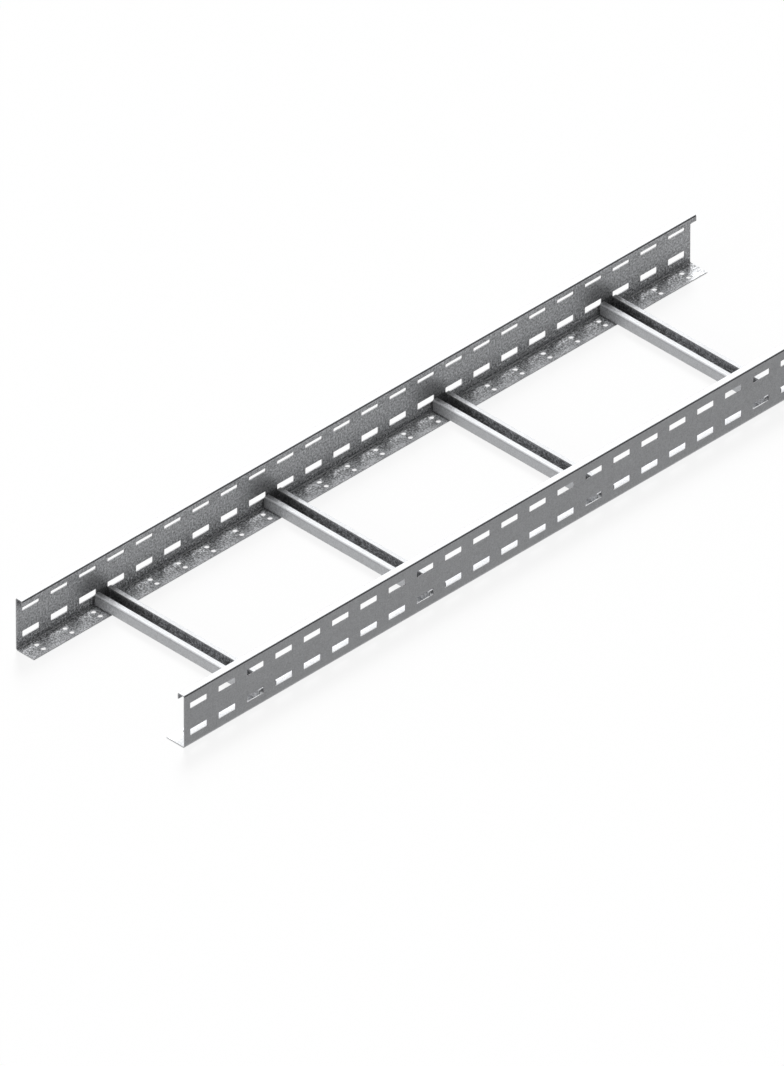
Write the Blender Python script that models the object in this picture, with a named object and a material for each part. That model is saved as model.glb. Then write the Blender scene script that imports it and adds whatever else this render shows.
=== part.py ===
"""Galvanised cable ladder with two perforated side rails and four channel rungs.

Each side rail is one folded sheet: a slotted web, a wide bottom flange with pairs of round
holes, and a narrow top flange that ends in a down-turned lip. Both rails are the same part,
the second turned half round. Each rung is a folded channel that is open at the top. It
stands on the two bottom flanges and stops just short of the webs.

Metres. X runs along the rails, Y across the ladder and Z up. The origin lies at the middle
of the ladder, at the height of the undersides of the rails.
"""

from math import cos, pi, sin

import bmesh
import bpy
from mathutils import Matrix, Vector

# Whole ladder
RUNG_COUNT = 4
RUNG_SPACING = 0.300
LADDER_LENGTH = RUNG_COUNT * RUNG_SPACING
LADDER_WIDTH = 0.300

# Side rail section
RAIL_SHEET = 0.0015
RAIL_HEIGHT = 0.080
RAIL_BOTTOM_FLANGE = 0.032
RAIL_TOP_FLANGE = 0.012
RAIL_LIP_DEPTH = 0.009
RAIL_INSIDE_BEND = 0.0015

# Slots in the webs, in two rows at the same distance from the top and the bottom
PERFORATION_PITCH = 0.050
SLOT_LENGTH = 0.030
SLOT_HEIGHT = 0.0095
SLOT_ROW_FROM_EDGE = 0.020

# Round holes in the bottom flanges, in pairs across the flange
FLANGE_HOLE_DIAMETER = 0.007
FLANGE_HOLE_FROM_WEB = 0.010
FLANGE_HOLE_PAIR_SPACING = 0.012
FLANGE_HOLE_SIDES = 16

# Rung section
RUNG_SHEET = 0.0015
RUNG_WIDTH = 0.030
RUNG_HEIGHT = 0.018
RUNG_MOUTH = 0.0155
RUNG_INSIDE_BEND = 0.0005

# Fits
RUNG_END_CLEARANCE = 0.002
RUNG_SEAT_CLEARANCE = 0.0003
RUNG_LENGTH = LADDER_WIDTH - 2 * (RAIL_SHEET + RUNG_END_CLEARANCE)

# Modelling
BEND_SEGMENTS = 8
CUTTER_OVERSHOOT = 0.001


def clear_scene():
    for obj in list(bpy.data.objects):
        bpy.data.objects.remove(obj, do_unlink=True)


def steel_material(name, colour, roughness):
    material = bpy.data.materials.new(name)
    material.use_nodes = True
    shader = material.node_tree.nodes["Principled BSDF"]
    shader.inputs["Base Color"].default_value = (*colour, 1.0)
    shader.inputs["Roughness"].default_value = roughness
    shader.inputs["Metallic"].default_value = 0.9
    return material


def bend_arc(corner, before, after, radius, offset):
    """Points round one right-angled fold, on the sheet's face that lies `offset` inside it.

    `before` and `after` are the unit directions of the sheet on the two sides of the fold.
    """
    centre = corner + radius * (after - before)
    points = []
    for step in range(BEND_SEGMENTS + 1):
        angle = pi / 2 * step / BEND_SEGMENTS
        outward = before * sin(angle) - after * cos(angle)
        points.append(centre + (radius - offset) * outward)
    return points


def folded_section(corners, sheet, inside_bend):
    """Closed outline of a folded strip, from the sharp corners of its outer face.

    Every fold turns the same way through a right angle. The outline runs along the outer
    face and comes back along the inner one.
    """
    corners = [Vector(corner) for corner in corners]
    directions = [(b - a).normalized() for a, b in zip(corners, corners[1:])]
    radius = inside_bend + sheet
    outer = [corners[0]]
    inner = [corners[0] + sheet * directions[1]]
    for corner, before, after in zip(corners[1:], directions, directions[1:]):
        outer += bend_arc(corner, before, after, radius, 0.0)
        inner += bend_arc(corner, before, after, radius, sheet)
    outer.append(corners[-1])
    inner.append(corners[-1] - sheet * directions[-2])
    return outer + inner[::-1]


def rail_section():
    return folded_section(
        [
            (RAIL_TOP_FLANGE, RAIL_HEIGHT - RAIL_LIP_DEPTH),
            (RAIL_TOP_FLANGE, RAIL_HEIGHT),
            (0.0, RAIL_HEIGHT),
            (0.0, 0.0),
            (RAIL_BOTTOM_FLANGE, 0.0),
        ],
        RAIL_SHEET,
        RAIL_INSIDE_BEND,
    )


def rung_section():
    return folded_section(
        [
            (RUNG_MOUTH / 2, RUNG_HEIGHT),
            (RUNG_WIDTH / 2, RUNG_HEIGHT),
            (RUNG_WIDTH / 2, 0.0),
            (-RUNG_WIDTH / 2, 0.0),
            (-RUNG_WIDTH / 2, RUNG_HEIGHT),
            (-RUNG_MOUTH / 2, RUNG_HEIGHT),
        ],
        RUNG_SHEET,
        RUNG_INSIDE_BEND,
    )


def extruded_mesh(name, section, length):
    """Mesh of a section in its own YZ plane, extruded along X and centred on it."""
    mesh_builder = bmesh.new()
    corners = [mesh_builder.verts.new((-length / 2, y, z)) for y, z in section]
    end_face = mesh_builder.faces.new(corners)
    extruded = bmesh.ops.extrude_face_region(mesh_builder, geom=[end_face])
    moved = [item for item in extruded["geom"] if isinstance(item, bmesh.types.BMVert)]
    bmesh.ops.translate(mesh_builder, verts=moved, vec=(length, 0.0, 0.0))
    bmesh.ops.recalc_face_normals(mesh_builder, faces=mesh_builder.faces)
    mesh = bpy.data.meshes.new(name)
    mesh_builder.to_mesh(mesh)
    mesh_builder.free()
    return mesh


def pattern_stations():
    """X of each slot and of each pair of holes, centred on the rail."""
    count = int(LADDER_LENGTH / PERFORATION_PITCH + 1e-6)
    first = -(count - 1) / 2 * PERFORATION_PITCH
    return [first + index * PERFORATION_PITCH for index in range(count)]


def add_slot(mesh_builder, x, z):
    depth = RAIL_SHEET + 2 * CUTTER_OVERSHOOT
    size = Matrix.Diagonal((SLOT_LENGTH, depth, SLOT_HEIGHT, 1.0))
    place = Matrix.Translation((x, RAIL_SHEET / 2, z))
    bmesh.ops.create_cube(mesh_builder, size=1.0, matrix=place @ size)


def add_flange_hole(mesh_builder, x, y):
    bmesh.ops.create_cone(
        mesh_builder,
        cap_ends=True,
        segments=FLANGE_HOLE_SIDES,
        radius1=FLANGE_HOLE_DIAMETER / 2,
        radius2=FLANGE_HOLE_DIAMETER / 2,
        depth=RAIL_SHEET + 2 * CUTTER_OVERSHOOT,
        matrix=Matrix.Translation((x, y, RAIL_SHEET / 2)),
    )


def perforation_mesh():
    """Punches for one rail: two rows of slots and two rows of round holes."""
    mesh_builder = bmesh.new()
    first_hole_row = RAIL_SHEET + FLANGE_HOLE_FROM_WEB
    for x in pattern_stations():
        for z in (SLOT_ROW_FROM_EDGE, RAIL_HEIGHT - SLOT_ROW_FROM_EDGE):
            add_slot(mesh_builder, x, z)
        for y in (first_hole_row, first_hole_row + FLANGE_HOLE_PAIR_SPACING):
            add_flange_hole(mesh_builder, x, y)
    mesh = bpy.data.meshes.new("rail_punches")
    mesh_builder.to_mesh(mesh)
    mesh_builder.free()
    return mesh


def add_object(name, mesh, location, turn):
    obj = bpy.data.objects.new(name, mesh)
    obj.location = location
    obj.rotation_euler = (0.0, 0.0, turn)
    bpy.context.scene.collection.objects.link(obj)
    return obj


def add_side_rails(material):
    blank = extruded_mesh("side_rail", rail_section(), LADDER_LENGTH)
    blank.materials.append(material)
    punches = perforation_mesh()
    for name, side, turn in (("right_side_rail", -1, 0.0), ("left_side_rail", 1, pi)):
        rail = add_object(name, blank, (0.0, side * LADDER_WIDTH / 2, 0.0), turn)
        cutter = add_object(name + "_punches", punches, (0.0, 0.0, 0.0), 0.0)
        cutter.parent = rail
        cutter.display_type = "WIRE"
        cutter.hide_render = True
        punching = rail.modifiers.new("perforations", "BOOLEAN")
        punching.operation = "DIFFERENCE"
        punching.solver = "EXACT"
        punching.object = cutter


def add_rungs(material):
    channel = extruded_mesh("rung", rung_section(), RUNG_LENGTH)
    channel.materials.append(material)
    seat = RAIL_SHEET + RUNG_SEAT_CLEARANCE
    for index in range(RUNG_COUNT):
        x = (index - (RUNG_COUNT - 1) / 2) * RUNG_SPACING
        add_object(f"rung_{index + 1}", channel, (x, 0.0, seat), pi / 2)


def main():
    clear_scene()
    add_side_rails(steel_material("zinc_rail", (0.60, 0.61, 0.62), 0.42))
    add_rungs(steel_material("zinc_rung", (0.62, 0.63, 0.64), 0.38))


main()
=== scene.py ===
"""Looks of the cable ladder: galvanised sheet, a pale studio and the photograph's camera.

The zinc is made in three steps. Its tone comes from the part of the sheet, with light and shade
painted on some parts, and from the spangle, the grain and the mottling. Worn edges and cut steel
lie over that. Painted shade then darkens it towards near black where the sheet is sheltered,
folded or near a rung's end, more towards +Y, and leaves it clean elsewhere.
"""

import math

import bpy
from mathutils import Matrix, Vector


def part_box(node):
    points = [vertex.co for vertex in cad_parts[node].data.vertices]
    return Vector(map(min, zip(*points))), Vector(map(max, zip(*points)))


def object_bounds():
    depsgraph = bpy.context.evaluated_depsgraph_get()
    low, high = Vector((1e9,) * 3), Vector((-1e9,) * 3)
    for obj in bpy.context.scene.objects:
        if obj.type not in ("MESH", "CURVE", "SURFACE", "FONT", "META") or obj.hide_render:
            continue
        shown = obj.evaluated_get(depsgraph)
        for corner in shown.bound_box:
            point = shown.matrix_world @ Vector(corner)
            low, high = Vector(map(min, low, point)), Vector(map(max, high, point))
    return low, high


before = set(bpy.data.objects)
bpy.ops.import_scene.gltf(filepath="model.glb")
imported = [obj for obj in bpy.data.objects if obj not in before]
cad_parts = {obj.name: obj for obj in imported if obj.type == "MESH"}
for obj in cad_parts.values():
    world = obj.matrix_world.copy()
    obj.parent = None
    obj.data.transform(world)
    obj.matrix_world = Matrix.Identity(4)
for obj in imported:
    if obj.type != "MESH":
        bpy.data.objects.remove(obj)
cad_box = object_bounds()

# Pieces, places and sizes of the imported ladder, in metres
LADDER_LOW, LADDER_HIGH = cad_box
RAILS = ("left_side_rail", "right_side_rail")
RUNG_LOW, RUNG_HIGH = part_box("rung_1")
NEXT_RUNG_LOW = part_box("rung_2")[0]
FIRST_RUNG_X = (RUNG_LOW.x + RUNG_HIGH.x) / 2
RUNG_SPACING = NEXT_RUNG_LOW.x - RUNG_LOW.x
RUNG_HALF_WIDTH = (RUNG_HIGH.x - RUNG_LOW.x) / 2
RUNG_HALF_LENGTH = (RUNG_HIGH.y - RUNG_LOW.y) / 2
RUNG_TOP = RUNG_HIGH.z
HALF_WIDTH = LADDER_HIGH.y
RAIL_TOP = LADDER_HIGH.z

# Sizes of the folded rails, as in the part's source, in metres
SHEET = 0.0015
LIP_DEPTH = 0.009
LIP_EDGE = RAIL_TOP - LIP_DEPTH

# Camera: a lens so long that the view is as good as isometric, like the photograph's
ISOMETRIC_ELEVATION = math.degrees(math.atan(1 / math.sqrt(2)))
CAMERA_AZIMUTH = -135.0
AIM = Vector((-0.1279, -0.0436, 0.04))
PICTURE_HEIGHT_AT_AIM = 1.3385
LENS_MM = 1250.0
SENSOR_MM = 36.0
CLIP_START = 1.0
CLIP_END_IN_DISTANCES = 4

# Studio
FLOOR_SIZE = 240.0
FLOOR_DROP = 0.0003
FLOOR_GLOW = 0.16
FLOOR_SHADOW_SHARE = 0.14
WORLD_LIGHT = 0.38
WHITE = (1.0, 1.0, 1.0, 1.0)

# Suns: name, azimuth, elevation, strength and spread, with the angles in degrees
SUNS = (
    ("soft_box_top", 45, 60, 1.01, 13),
    ("soft_box_middle", 45, 51, 0.77, 13),
    ("soft_box_bottom", 45, 41, 0.34, 13),
    ("end_light", 180, 15, 0.85, 25),
)

# Colours of the zinc, the steel and the near black painted as shade, and how much lies over the
# zinc
ZINC_DARK = (0.24, 0.244, 0.252, 1.0)
ZINC_LIGHT = (0.96, 0.975, 1.0, 1.0)
CUT_STEEL = (0.40, 0.40, 0.405, 1.0)
PAINTED_SHADE_ZINC = (0.03, 0.03, 0.031, 1.0)
WORN_ZINC = (0.78, 0.79, 0.80, 1.0)
CUT_SHARE = 0.6
WORN_SHARE = 0.5
METALLIC = 0.15

# Sizes of the zinc's patterns, in metres
SPANGLE_SIZE = 0.007
GRAIN_SIZE = 0.0018
COARSE_GRAIN_SIZE = 0.0027
FLANGE_GRAIN_SIZE = 0.0021
CLOUD_SIZE = 0.045
STREAK_LENGTH = 0.12
STREAK_WIDTH = 0.0022
EDGE_ROUNDING = 0.0005
BUMP_DEPTH = 0.00006

# Detail of the grains' noise, and samples of the nodes that look round a point
GRAIN_DETAIL = 3.0
COARSE_GRAIN_DETAIL = 1.0
SHELTER_SAMPLES = 8
EDGE_SAMPLES = 4

# Tone of the zinc, from 0 for dark to 1 for light, and what each pattern adds to it
MEAN_TONE = 0.5
SPANGLE_TONE = 0.07
GRAIN_TONE = 0.56
MOTTLE_TONE = 1.6
CLOUD_TONE = 0.08
STREAK_TONE = 0.06

# Roughness of the zinc, and what the patterns and the places of painted shade add to it
CLEAN_ROUGHNESS = 0.46
SPANGLE_ROUGHNESS = 0.10
GRAIN_ROUGHNESS = 0.12
PAINTED_SHADE_ROUGHNESS = 0.2

# Height of the patterns in the bump, against that of the fine grain
SPANGLE_HEIGHT = 0.25
STREAK_HEIGHT = 0.3

# Shares of a face's normal: above the first it looks along an axis, below the second it stands
LOOKS_ALONG = 0.7
STANDS = 0.3

# Limits between the parts of a rail and of a rung, in metres
ABOVE_FLANGE = SHEET + 0.0003
RAIL_TOP_FACE = RAIL_TOP - 0.0001
LIP_SIDE = HALF_WIDTH - 0.0095
BEND_SIDE = HALF_WIDTH - 0.0032
SAWN_END = LADDER_HIGH.x - 0.001
RUNG_TOP_FACE = RUNG_TOP - 0.0001
RUNG_OUTER_FACE = RUNG_HALF_WIDTH - 0.0004
RUNG_FOLD_SIDE = RUNG_HALF_WIDTH - 0.0021
RUNG_MOUTH_SIDE = RUNG_HALF_WIDTH - 0.004

# Zones, each with its low limit, its high limit and how far it fades out past them
SLOT_WALL_HEIGHTS = (0.012, LIP_EDGE + 0.0005, 0.0001)
HOLE_WALL_HEIGHTS = (0.0002, SHEET - 0.0002, 0.0001)
HOLE_ROWS = (HALF_WIDTH - 0.028, HALF_WIDTH - 0.007, 0.001)
BEND_HOLLOW = (SHEET + 0.0002, SHEET + 0.0015, 0.0003)
LIP_HEIGHTS = (LIP_EDGE - 0.0005, RAIL_TOP - 0.0035, 0.0005)
LIP_BACK = (HALF_WIDTH - 0.0107, HALF_WIDTH - 0.0100, 0.0002)
RAIL_FOLD_LINE = (RAIL_TOP - 0.00215, RAIL_TOP - 0.0009, 0.0004)
RAIL_TOP_FOLD = (RAIL_TOP - 0.0005, RAIL_TOP - 0.0001, 0.0002)
RUNG_FOLD_LINE = (RUNG_TOP - 0.0040, RUNG_TOP - 0.0026, 0.0006)
RUNG_TOP_FOLD = (RUNG_TOP - 0.0016, RUNG_TOP - 0.0002, 0.0003)

# Changes on the rails: from where, to where, and the values there if they aren't 0 and 1
IN_FLANGE = (SHEET, SHEET + 0.0001, 1.0, 0.0)
PAST_BEND = (HALF_WIDTH - 0.0035, HALF_WIDTH - 0.0034, 1.0, 0.0)
FLANGE_MARGIN = (HALF_WIDTH - 0.015, HALF_WIDTH - 0.027)
BOTTOM_FOLD = (0.0022, 0.0048, 1.0, 0.0)
WEB_PAINTED_SHADE_AND_LIGHT = (0.036, 0.062, -0.06, 0.08)
CORNER_WIDTH = (HALF_WIDTH - 0.012, HALF_WIDTH - 0.003)
CORNER_HEIGHT = (0.003, 0.012, 1.0, 0.0)
CORNER_SHELTER = (0.97, 0.85)
MOTTLING_BY_HEIGHT = (0.008, 0.020, 1.4, 1.08)
MOTTLING_BY_SIDE = (-HALF_WIDTH, 0.0, 0.2, 1.0)

# Painted shade round a rung's end on a web, and a painted shadow line at its foot, with its
# changes in the same way
SEAT_SHADE_HEIGHT = 0.030
SEAT_SHADE_SHIFT = 0.010
SEAT_SHADE_LEAN = 0.6
SEAT_SHADE_SIDES = (-0.004, 0.004, 0.7, 1.15)
SEAT_SHADE_BY_DISTANCE = (0.006, 0.036, 0.42, 1.0)
FOOT_SHADOW_BESIDE_RUNG = (RUNG_HALF_WIDTH + 0.0002, RUNG_HALF_WIDTH + 0.003, 0.4, 1.0)
FOOT_SHADOW_TOP = (0.016, 0.022)

# Changes on the rungs, in the same way: painted shade at the ends, grain and a patch of painted
# light
RUNG_LIP_BY_FACING = (0.5, 0.9)
RUNG_LIP_BY_SHELTER = (0.5, 0.8)
RUNG_LIP_END = (0.004, 0.024, 0.45, 1.0)
SHADED_FROM = -0.004
SHADED_REACH = (0.35, 0.8, 0.14, 0.052)
SHADED_START = (0.35, 0.8, 0.17, 0.34)
CHANNEL_MOTTLING = (0.9, 0.6, 0.0, 1.5)
END_MOTTLING = (RUNG_HALF_LENGTH - 0.070, RUNG_HALF_LENGTH, 0.0, 0.9)
PAINTED_LIGHT_PATCH_START = (0.078, 0.106)
PAINTED_LIGHT_PATCH_END = (0.136, 0.118)

# Light and shade painted into the tone on parts of the rails and of the rungs
OUTER_PAINTED_SHADE = -0.155
OUTER_BOTTOM_FOLD_PAINTED_LIGHT = 0.3
FLANGE_MARGIN_PAINTED_LIGHT = 0.25
HOLE_WALL_PAINTED_LIGHT = 0.5
RAIL_TOP_FOLD_PAINTED_LIGHT = 0.35
LIP_BACK_PAINTED_LIGHT = 0.5
RAIL_TOP_PAINTED_SHADE = -0.06
RUNG_TOP_PAINTED_SHADE = -0.05
RUNG_TOP_FOLD_PAINTED_HIGHLIGHT = 0.45
PAINTED_LIGHT_PATCH_TONE = 0.28

# How far a sheltered point looks round, how strongly shade is painted there, and how much weaker
# on the -Y side
RAIL_SHELTER_REACH = 0.04
RUNG_SHELTER_REACH = 0.02
SHADE_POWER_BY_FACING = (0.5, 0.9, 1.6, 1.25)
MOTTLE_SHADE_POWER = -5.0
RUNG_SHADE_POWER_SHARE = 0.25
RAIL_LEAST_SIDE_SHADE = 0.12
RUNG_LEAST_SIDE_SHADE = 0.3

# What is left unshaded where shade is painted in hollows and folds, and on the dark fold lines
HOLLOW_UNSHADED = 0.74
BEND_UNSHADED = 0.78
RAIL_FOLD_LINE_UNSHADED = 0.05
RUNG_FOLD_LINE_UNSHADED = 0.9

# Wear along an edge, by how well the rounded normal agrees with the plain one
WEAR_BY_AGREEMENT = (0.99, 0.85)


class Nodes:
    """A material's or a world's node tree, with short calls to add to it."""

    def __init__(self, owner):
        owner.use_nodes = True
        self.tree = owner.node_tree
        self.tree.nodes.clear()

    def add(self, kind, inputs=(), **settings):
        node = self.tree.nodes.new(kind)
        for name, value in settings.items():
            setattr(node, name, value)
        for socket, value in dict(inputs).items():
            self.feed(node.inputs[socket], value)
        return node

    def feed(self, socket, value):
        if isinstance(value, bpy.types.NodeSocket):
            self.tree.links.new(value, socket)
        else:
            socket.default_value = value

    def math(self, operation, *values):
        node = self.add("ShaderNodeMath", operation=operation)
        for socket, value in zip(node.inputs, values):
            self.feed(socket, value)
        return node.outputs[0]

    def scaled(self, value, factor):
        return self.math("MULTIPLY", value, factor)

    def above(self, value, limit):
        return self.math("GREATER_THAN", value, limit)

    def below(self, value, limit):
        return self.math("LESS_THAN", value, limit)

    def sum(self, *values):
        total = values[0]
        for value in values[1:]:
            total = self.math("ADD", total, value)
        return total

    def weighted(self, start, *terms):
        """`start` plus each value in `terms` times its weight."""
        return self.sum(start, *(self.scaled(value, weight) for value, weight in terms))

    def all_of(self, *masks):
        both = masks[0]
        for mask in masks[1:]:
            both = self.math("MULTIPLY", both, mask)
        return both

    def any_of(self, *masks):
        either = masks[0]
        for mask in masks[1:]:
            either = self.math("MAXIMUM", either, mask)
        return either

    def outside(self, mask):
        return self.math("SUBTRACT", 1.0, mask)

    def ramp(self, value, low, high, start=0.0, end=1.0):
        """Smooth change from `start` to `end` as `value` goes from `low` to `high`."""
        node = self.add(
            "ShaderNodeMapRange",
            {"Value": value, "From Min": low, "From Max": high, "To Min": start, "To Max": end},
            interpolation_type="SMOOTHSTEP",
        )
        return node.outputs["Result"]

    def within(self, value, low, high, feather):
        """1 where `value` lies between `low` and `high`, fading out over `feather`."""
        rising = self.ramp(value, low - feather, low)
        falling = self.ramp(value, high, high + feather, 1.0, 0.0)
        return self.all_of(rising, falling)

    def dimmed(self, mask, least):
        """1 outside `mask`, and down to `least` in it."""
        return self.ramp(mask, 0.0, 1.0, 1.0, least)

    def mix(self, factor, first, second):
        node = self.add("ShaderNodeMix", data_type="RGBA")
        self.feed(node.inputs["Factor"], factor)
        colours = [socket for socket in node.inputs if socket.type == "RGBA"]
        self.feed(colours[0], first)
        self.feed(colours[1], second)
        return next(socket for socket in node.outputs if socket.type == "RGBA")

    def noise(self, place, size, detail=2.0):
        """Soft noise with an average of 0, in patches of about `size`."""
        node = self.add(
            "ShaderNodeTexNoise", {"Vector": place, "Scale": 1 / size, "Detail": detail}
        )
        return self.math("SUBTRACT", node.outputs["Fac"], 0.5)

    def stretched(self, place, sizes):
        """Coordinates in which one unit is as long as `sizes` says along each axis."""
        scale = tuple(1 / size for size in sizes)
        node = self.add("ShaderNodeVectorMath", {0: place, 1: scale}, operation="MULTIPLY")
        return node.outputs[0]

    def axes(self, vector):
        return self.add("ShaderNodeSeparateXYZ", {0: vector}).outputs[:3]


def seen_directly(nodes):
    """1 for rays that show the studio itself: from the camera, or by way of metal or glass."""
    path = nodes.add("ShaderNodeLightPath").outputs
    return nodes.any_of(
        path["Is Camera Ray"], path["Is Glossy Ray"], path["Is Transmission Ray"]
    )


class Surface:
    """Where a point of the ladder lies, where it looks and how sheltered it is."""

    def __init__(self, nodes, shelter_reach):
        self.place = nodes.add("ShaderNodeTexCoord").outputs["Object"]
        self.x, self.y, self.z = nodes.axes(self.place)
        self.off_middle = nodes.math("ABSOLUTE", self.y)
        self.inner = nodes.below(self.off_middle, HALF_WIDTH - SHEET / 2)
        from_first = nodes.math("SUBTRACT", self.x, FIRST_RUNG_X)
        half = RUNG_SPACING / 2
        self.from_rung = nodes.math("WRAP", from_first, half, -half)
        self.off_rung = nodes.math("ABSOLUTE", self.from_rung)

        self.normal = nodes.add("ShaderNodeNewGeometry").outputs["True Normal"]
        shares = [nodes.math("ABSOLUTE", axis) for axis in nodes.axes(self.normal)]
        self.upward = shares[2]
        self.along_x, self.along_y, self.along_z = (
            nodes.above(share, LOOKS_ALONG) for share in shares
        )
        self.shelter = nodes.add(
            "ShaderNodeAmbientOcclusion",
            {"Distance": shelter_reach},
            samples=SHELTER_SAMPLES,
            only_local=True,
        ).outputs["AO"]


def rail_hole_walls(nodes, at):
    """Walls of the round holes in the bottom flange, where light is painted on."""
    return nodes.all_of(
        nodes.within(at.z, *HOLE_WALL_HEIGHTS),
        nodes.within(at.off_middle, *HOLE_ROWS),
        nodes.below(at.upward, STANDS),
        nodes.below(nodes.math("ABSOLUTE", at.x), SAWN_END),
    )


def rail_cut_edges(nodes, at):
    """Slot walls, strip edges and the sawn ends of a rail."""
    past_bend = nodes.ramp(at.off_middle, *PAST_BEND)
    return nodes.any_of(
        nodes.all_of(at.along_x, nodes.outside(rail_hole_walls(nodes, at))),
        nodes.all_of(at.along_z, nodes.within(at.z, *SLOT_WALL_HEIGHTS)),
        nodes.all_of(at.along_y, nodes.ramp(at.z, *IN_FLANGE), past_bend),
    )


def rung_cut_edges(nodes, at):
    """Sawn ends and the two strip edges along the mouth of a rung."""
    mouth = nodes.below(at.off_rung, RUNG_MOUTH_SIDE)
    return nodes.any_of(at.along_y, nodes.all_of(at.along_x, mouth))


def rail_fold_line(nodes, at):
    """Painted shade: a dark line along the start of the top folds."""
    return nodes.all_of(nodes.within(at.z, *RAIL_FOLD_LINE), nodes.outside(at.along_x))


def rung_fold_line(nodes, at):
    """Painted shade: a faint dark line just under the top folds, on the outer faces."""
    height = nodes.within(at.z, *RUNG_FOLD_LINE)
    return nodes.all_of(height, nodes.above(at.off_rung, RUNG_OUTER_FACE))


def rail_seat_unshaded(nodes, at):
    """Painted shade under and round each rung end, fading a little way off and further towards
    -X, with a painted shadow line beside the rung's foot.
    """
    rise = nodes.math("SUBTRACT", at.z, SEAT_SHADE_HEIGHT)
    side = nodes.weighted(nodes.sum(at.from_rung, SEAT_SHADE_SHIFT), (rise, SEAT_SHADE_LEAN))
    side = nodes.scaled(side, nodes.ramp(side, *SEAT_SHADE_SIDES))
    squares = nodes.sum(nodes.scaled(side, side), nodes.scaled(rise, rise))
    seat_unshaded = nodes.ramp(nodes.math("SQRT", squares), *SEAT_SHADE_BY_DISTANCE)
    foot_unshaded = nodes.any_of(
        nodes.ramp(at.off_rung, *FOOT_SHADOW_BESIDE_RUNG), nodes.ramp(at.z, *FOOT_SHADOW_TOP)
    )
    return nodes.any_of(nodes.outside(at.inner), nodes.all_of(seat_unshaded, foot_unshaded))


def rail_corner_unshaded(nodes, at):
    """Painted shade in the hollow of the bottom fold."""
    hollow = nodes.all_of(
        nodes.ramp(at.off_middle, *CORNER_WIDTH),
        nodes.ramp(at.z, *CORNER_HEIGHT),
        nodes.ramp(at.shelter, *CORNER_SHELTER),
    )
    bend = nodes.all_of(
        nodes.within(at.z, *BEND_HOLLOW), nodes.above(at.off_middle, BEND_SIDE), at.inner
    )
    return nodes.all_of(
        nodes.dimmed(hollow, HOLLOW_UNSHADED), nodes.dimmed(bend, BEND_UNSHADED)
    )


def rung_end_unshaded(nodes, at):
    """Painted shade at a rung's ends, fading out further in, more slowly inside the channel."""
    from_end = nodes.math("SUBTRACT", RUNG_HALF_LENGTH, at.off_middle)
    lip = nodes.all_of(
        nodes.ramp(at.upward, *RUNG_LIP_BY_FACING),
        nodes.ramp(at.shelter, *RUNG_LIP_BY_SHELTER),
    )
    reach = nodes.ramp(at.shelter, *SHADED_REACH)
    start = nodes.ramp(at.shelter, *SHADED_START)
    return nodes.sum(
        nodes.all_of(lip, nodes.ramp(from_end, *RUNG_LIP_END)),
        nodes.all_of(nodes.outside(lip), nodes.ramp(from_end, SHADED_FROM, reach, start)),
    )


def painted_shade_by_side(nodes, at, least):
    """Painted shade is weaker along the ladder's -Y side than along its +Y side."""
    return nodes.ramp(at.y, -RUNG_HALF_LENGTH, RUNG_HALF_LENGTH, least, 1.0)


def rail_unshaded(nodes, at, shade_power):
    """1 where no shade is painted on a rail, less where sheltered, in the bottom fold, round the
    rung ends, on the dark fold line and towards +Y.
    """
    clear = nodes.all_of(
        nodes.math("POWER", at.shelter, shade_power),
        rail_seat_unshaded(nodes, at),
        rail_corner_unshaded(nodes, at),
    )
    soiled = nodes.math("POWER", clear, painted_shade_by_side(nodes, at, RAIL_LEAST_SIDE_SHADE))
    return nodes.all_of(
        nodes.any_of(soiled, rail_hole_walls(nodes, at)),
        nodes.dimmed(rail_fold_line(nodes, at), RAIL_FOLD_LINE_UNSHADED),
    )


def rung_unshaded(nodes, at, shade_power):
    """1 where no shade is painted on a rung, less where sheltered, at its ends, on the faint
    fold line and more towards +Y.
    """
    soiled = nodes.math(
        "POWER", rung_end_unshaded(nodes, at), painted_shade_by_side(nodes, at, RUNG_LEAST_SIDE_SHADE)
    )
    return nodes.all_of(
        nodes.math("POWER", at.shelter, nodes.scaled(shade_power, RUNG_SHADE_POWER_SHARE)),
        soiled,
        nodes.dimmed(rung_fold_line(nodes, at), RUNG_FOLD_LINE_UNSHADED),
    )


def rail_mottling(nodes, at):
    """Coarse grain on the inner faces of a rail, most near the bottom fold, none on its top."""
    return nodes.all_of(
        at.inner,
        nodes.below(at.z, RAIL_TOP - SHEET / 2),
        nodes.ramp(at.z, *MOTTLING_BY_HEIGHT),
        nodes.ramp(at.y, *MOTTLING_BY_SIDE),
    )


def rung_mottling(nodes, at):
    """Coarse grain inside the channel, and a little on the outside near its ends."""
    return nodes.any_of(
        nodes.ramp(at.shelter, *CHANNEL_MOTTLING), nodes.ramp(at.off_middle, *END_MOTTLING)
    )


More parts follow.
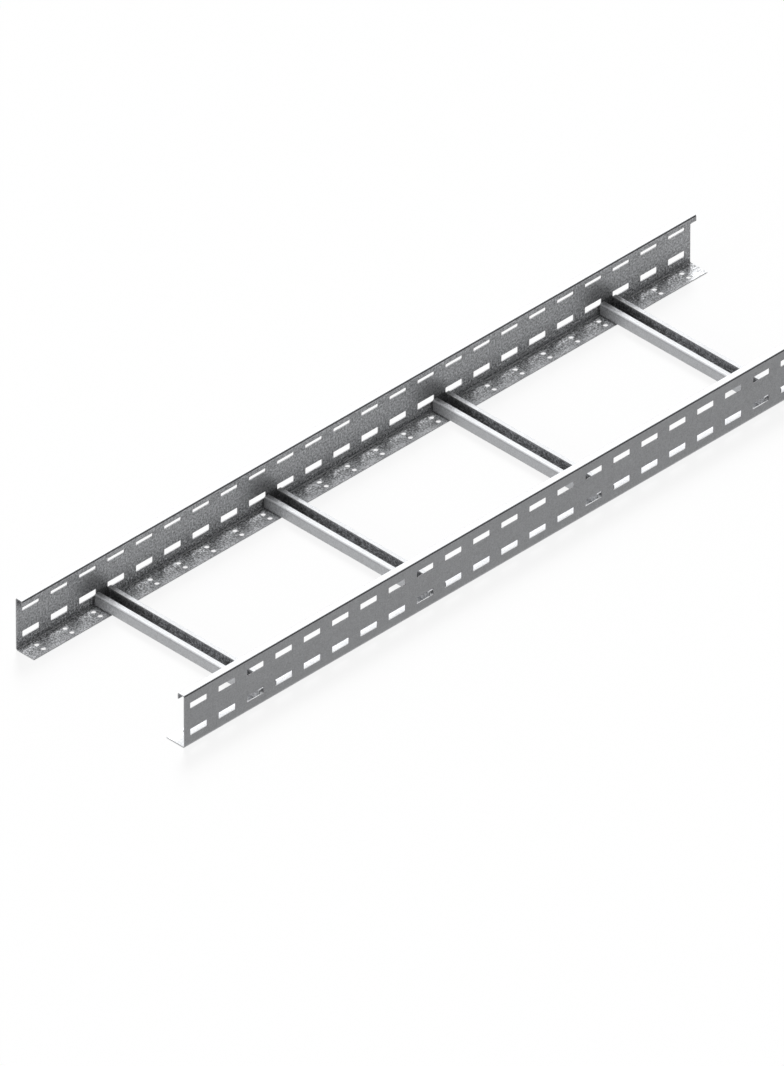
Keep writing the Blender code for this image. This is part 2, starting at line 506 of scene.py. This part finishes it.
def rail_tone_and_painted_light(nodes, at):
    """Painted shade on the outer face, the top and low on the inner web; painted light on the
    folds, the flange's edge, hole walls, lip back and high web.
    """
    lip = nodes.all_of(nodes.within(at.z, *LIP_HEIGHTS), nodes.below(at.off_middle, LIP_SIDE))
    lip_back = nodes.all_of(
        nodes.above(at.z, LIP_EDGE), nodes.within(at.off_middle, *LIP_BACK), at.along_y
    )
    outer = nodes.any_of(nodes.outside(at.inner), lip)
    outer_fold = nodes.all_of(outer, nodes.ramp(at.z, *BOTTOM_FOLD))
    inner_web = nodes.all_of(at.inner, nodes.above(at.z, ABOVE_FLANGE))
    margin = nodes.all_of(
        nodes.ramp(at.off_middle, *FLANGE_MARGIN), nodes.below(at.z, ABOVE_FLANGE)
    )
    return nodes.weighted(
        MEAN_TONE,
        (outer, OUTER_PAINTED_SHADE),
        (inner_web, nodes.ramp(at.z, *WEB_PAINTED_SHADE_AND_LIGHT)),
        (outer_fold, OUTER_BOTTOM_FOLD_PAINTED_LIGHT),
        (margin, FLANGE_MARGIN_PAINTED_LIGHT),
        (rail_hole_walls(nodes, at), HOLE_WALL_PAINTED_LIGHT),
        (nodes.within(at.z, *RAIL_TOP_FOLD), RAIL_TOP_FOLD_PAINTED_LIGHT),
        (lip_back, LIP_BACK_PAINTED_LIGHT),
        (nodes.above(at.z, RAIL_TOP_FACE), RAIL_TOP_PAINTED_SHADE),
    )


def rung_tone_and_painted_light(nodes, at):
    """Painted shade on the lips, but for a patch of painted light towards the +Y end, and a
    painted highlight on the top folds.
    """
    top = nodes.above(at.z, RUNG_TOP_FACE)
    fold = nodes.all_of(
        nodes.within(at.z, *RUNG_TOP_FOLD), nodes.above(at.off_rung, RUNG_FOLD_SIDE)
    )
    patch = nodes.all_of(
        top, nodes.ramp(at.y, *PAINTED_LIGHT_PATCH_START), nodes.ramp(at.y, *PAINTED_LIGHT_PATCH_END)
    )
    return nodes.weighted(
        MEAN_TONE,
        (top, RUNG_TOP_PAINTED_SHADE),
        (fold, RUNG_TOP_FOLD_PAINTED_HIGHLIGHT),
        (patch, PAINTED_LIGHT_PATCH_TONE),
    )


def galvanised(
    name,
    streak_sizes,
    shelter_reach,
    lying_grain_size,
    tone_and_painted_light,
    cut_edges,
    unshaded,
    mottling,
):
    """Hot-dip zinc on folded sheet, with light and shade painted into its colour, mottled where
    sheltered.
    """
    material = bpy.data.materials.new(name)
    nodes = Nodes(material)
    at = Surface(nodes, shelter_reach)

    crystals = nodes.add(
        "ShaderNodeTexVoronoi", {"Vector": at.place, "Scale": 1 / SPANGLE_SIZE}
    )
    spangle = nodes.math("SUBTRACT", nodes.axes(crystals.outputs["Color"])[0], 0.5)
    grain = nodes.noise(at.place, GRAIN_SIZE, GRAIN_DETAIL)
    cloud = nodes.noise(at.place, CLOUD_SIZE)
    streak = nodes.noise(nodes.stretched(at.place, streak_sizes), 1.0)
    standing_grain = nodes.noise(at.place, COARSE_GRAIN_SIZE, COARSE_GRAIN_DETAIL)
    lying_grain = nodes.noise(at.place, lying_grain_size, COARSE_GRAIN_DETAIL)
    coarse = nodes.sum(
        nodes.all_of(nodes.outside(at.along_z), standing_grain),
        nodes.all_of(at.along_z, lying_grain),
    )
    mottle = nodes.all_of(coarse, mottling(nodes, at))
    # The part tones carry painted light and shade; the patterns are the zinc's own grain
    tone = nodes.weighted(
        tone_and_painted_light(nodes, at),
        (spangle, SPANGLE_TONE),
        (grain, GRAIN_TONE),
        (mottle, MOTTLE_TONE),
        (cloud, CLOUD_TONE),
        (streak, STREAK_TONE),
    )
    zinc = nodes.mix(tone, ZINC_DARK, ZINC_LIGHT)

    rounded = nodes.add(
        "ShaderNodeBevel", {"Radius": EDGE_ROUNDING}, samples=EDGE_SAMPLES
    ).outputs[0]
    agreement = nodes.add(
        "ShaderNodeVectorMath", {0: rounded, 1: at.normal}, operation="DOT_PRODUCT"
    ).outputs["Value"]
    edge = nodes.ramp(agreement, *WEAR_BY_AGREEMENT)
    worn = nodes.mix(nodes.scaled(edge, WORN_SHARE), zinc, WORN_ZINC)
    steel = nodes.mix(nodes.scaled(cut_edges(nodes, at), CUT_SHARE), worn, CUT_STEEL)

    # Painted shade: the colour darkens towards near black where the sheet is sheltered, on the
    # fold lines, round the rung ends and more towards +Y
    shade_power = nodes.weighted(
        nodes.ramp(at.upward, *SHADE_POWER_BY_FACING), (mottle, MOTTLE_SHADE_POWER)
    )
    clear = unshaded(nodes, at, shade_power)
    finish = nodes.mix(clear, PAINTED_SHADE_ZINC, steel)

    roughness = nodes.weighted(
        CLEAN_ROUGHNESS,
        (spangle, SPANGLE_ROUGHNESS),
        (grain, GRAIN_ROUGHNESS),
        (nodes.outside(clear), PAINTED_SHADE_ROUGHNESS),
    )
    height = nodes.weighted(grain, (spangle, SPANGLE_HEIGHT), (streak, STREAK_HEIGHT))
    bump = nodes.add(
        "ShaderNodeBump",
        {"Height": height, "Distance": BUMP_DEPTH, "Strength": 1.0, "Normal": rounded},
    )
    shader = nodes.add(
        "ShaderNodeBsdfPrincipled",
        {
            "Base Color": finish,
            "Roughness": roughness,
            "Metallic": METALLIC,
            "Normal": bump.outputs[0],
        },
    )
    nodes.add("ShaderNodeOutputMaterial", {"Surface": shader.outputs[0]})
    return material


def rail_zinc():
    return galvanised(
        "rail_zinc",
        streak_sizes=(STREAK_LENGTH, STREAK_WIDTH, STREAK_WIDTH),
        shelter_reach=RAIL_SHELTER_REACH,
        lying_grain_size=FLANGE_GRAIN_SIZE,
        tone_and_painted_light=rail_tone_and_painted_light,
        cut_edges=rail_cut_edges,
        unshaded=rail_unshaded,
        mottling=rail_mottling,
    )


def rung_zinc():
    return galvanised(
        "rung_zinc",
        streak_sizes=(STREAK_WIDTH, STREAK_LENGTH, STREAK_WIDTH),
        shelter_reach=RUNG_SHELTER_REACH,
        lying_grain_size=COARSE_GRAIN_SIZE,
        tone_and_painted_light=rung_tone_and_painted_light,
        cut_edges=rung_cut_edges,
        unshaded=rung_unshaded,
        mottling=rung_mottling,
    )


def floor_material():
    """Seen as white with a share of the ladder's shadow, and a weak glow on the ladder."""
    material = bpy.data.materials.new("studio_floor")
    nodes = Nodes(material)
    lit = nodes.add("ShaderNodeBsdfDiffuse", {"Color": WHITE})
    white = nodes.add("ShaderNodeEmission", {"Color": WHITE, "Strength": 1.0})
    shown = nodes.add(
        "ShaderNodeMixShader", {0: FLOOR_SHADOW_SHARE, 1: white.outputs[0], 2: lit.outputs[0]}
    )
    glow = nodes.add("ShaderNodeEmission", {"Color": WHITE, "Strength": FLOOR_GLOW})
    surface = nodes.add(
        "ShaderNodeMixShader", {0: seen_directly(nodes), 1: glow.outputs[0], 2: shown.outputs[0]}
    )
    nodes.add("ShaderNodeOutputMaterial", {"Surface": surface.outputs[0]})
    material.cycles.emission_sampling = "NONE"
    return material


def add_floor():
    half = FLOOR_SIZE / 2
    height = LADDER_LOW.z - FLOOR_DROP
    corners = ((-half, -half), (half, -half), (half, half), (-half, half))
    mesh = bpy.data.meshes.new("studio_floor")
    mesh.from_pydata([(x, y, height) for x, y in corners], [], [(0, 1, 2, 3)])
    mesh.materials.append(floor_material())
    floor = bpy.data.objects.new("studio_floor", mesh)
    bpy.context.scene.collection.objects.link(floor)


def add_world():
    """Seen as white, and lighting the ladder more weakly than it looks."""
    world = bpy.data.worlds.new("studio")
    bpy.context.scene.world = world
    nodes = Nodes(world)
    strength = nodes.ramp(seen_directly(nodes), 0.0, 1.0, WORLD_LIGHT, 1.0)
    glow = nodes.add("ShaderNodeBackground", {"Color": WHITE, "Strength": strength})
    nodes.add("ShaderNodeOutputWorld", {"Surface": glow.outputs[0]})


def direction(azimuth, elevation):
    """Unit vector towards `azimuth` (from +X to +Y) and `elevation`, in degrees."""
    turn, rise = math.radians(azimuth), math.radians(elevation)
    level = math.cos(rise)
    return Vector((math.cos(turn) * level, math.sin(turn) * level, math.sin(rise)))


def add_suns():
    """A tall soft box behind the ladder on the right, and a weak light at its left end."""
    for name, azimuth, elevation, strength, spread in SUNS:
        light = bpy.data.lights.new(name, "SUN")
        light.energy = strength
        light.angle = math.radians(spread)
        sun = bpy.data.objects.new(name, light)
        sun.rotation_euler = direction(azimuth, elevation).to_track_quat("Z", "Y").to_euler()
        bpy.context.scene.collection.objects.link(sun)


def add_camera():
    data = bpy.data.cameras.new("camera")
    data.lens = LENS_MM
    data.sensor_width = SENSOR_MM
    camera = bpy.data.objects.new("camera", data)
    bpy.context.scene.collection.objects.link(camera)
    distance = PICTURE_HEIGHT_AT_AIM * LENS_MM / SENSOR_MM
    towards = direction(CAMERA_AZIMUTH, ISOMETRIC_ELEVATION)
    camera.location = AIM + distance * towards
    camera.rotation_euler = towards.to_track_quat("Z", "Y").to_euler()
    data.clip_start = CLIP_START
    data.clip_end = CLIP_END_IN_DISTANCES * distance
    bpy.context.scene.camera = camera


def main():
    on_rails, on_rungs = rail_zinc(), rung_zinc()
    for name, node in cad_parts.items():
        node.material_slots[0].material = on_rails if name in RAILS else on_rungs
    add_floor()
    add_world()
    add_suns()
    add_camera()
    bpy.context.scene.view_settings.view_transform = "Standard"


main()
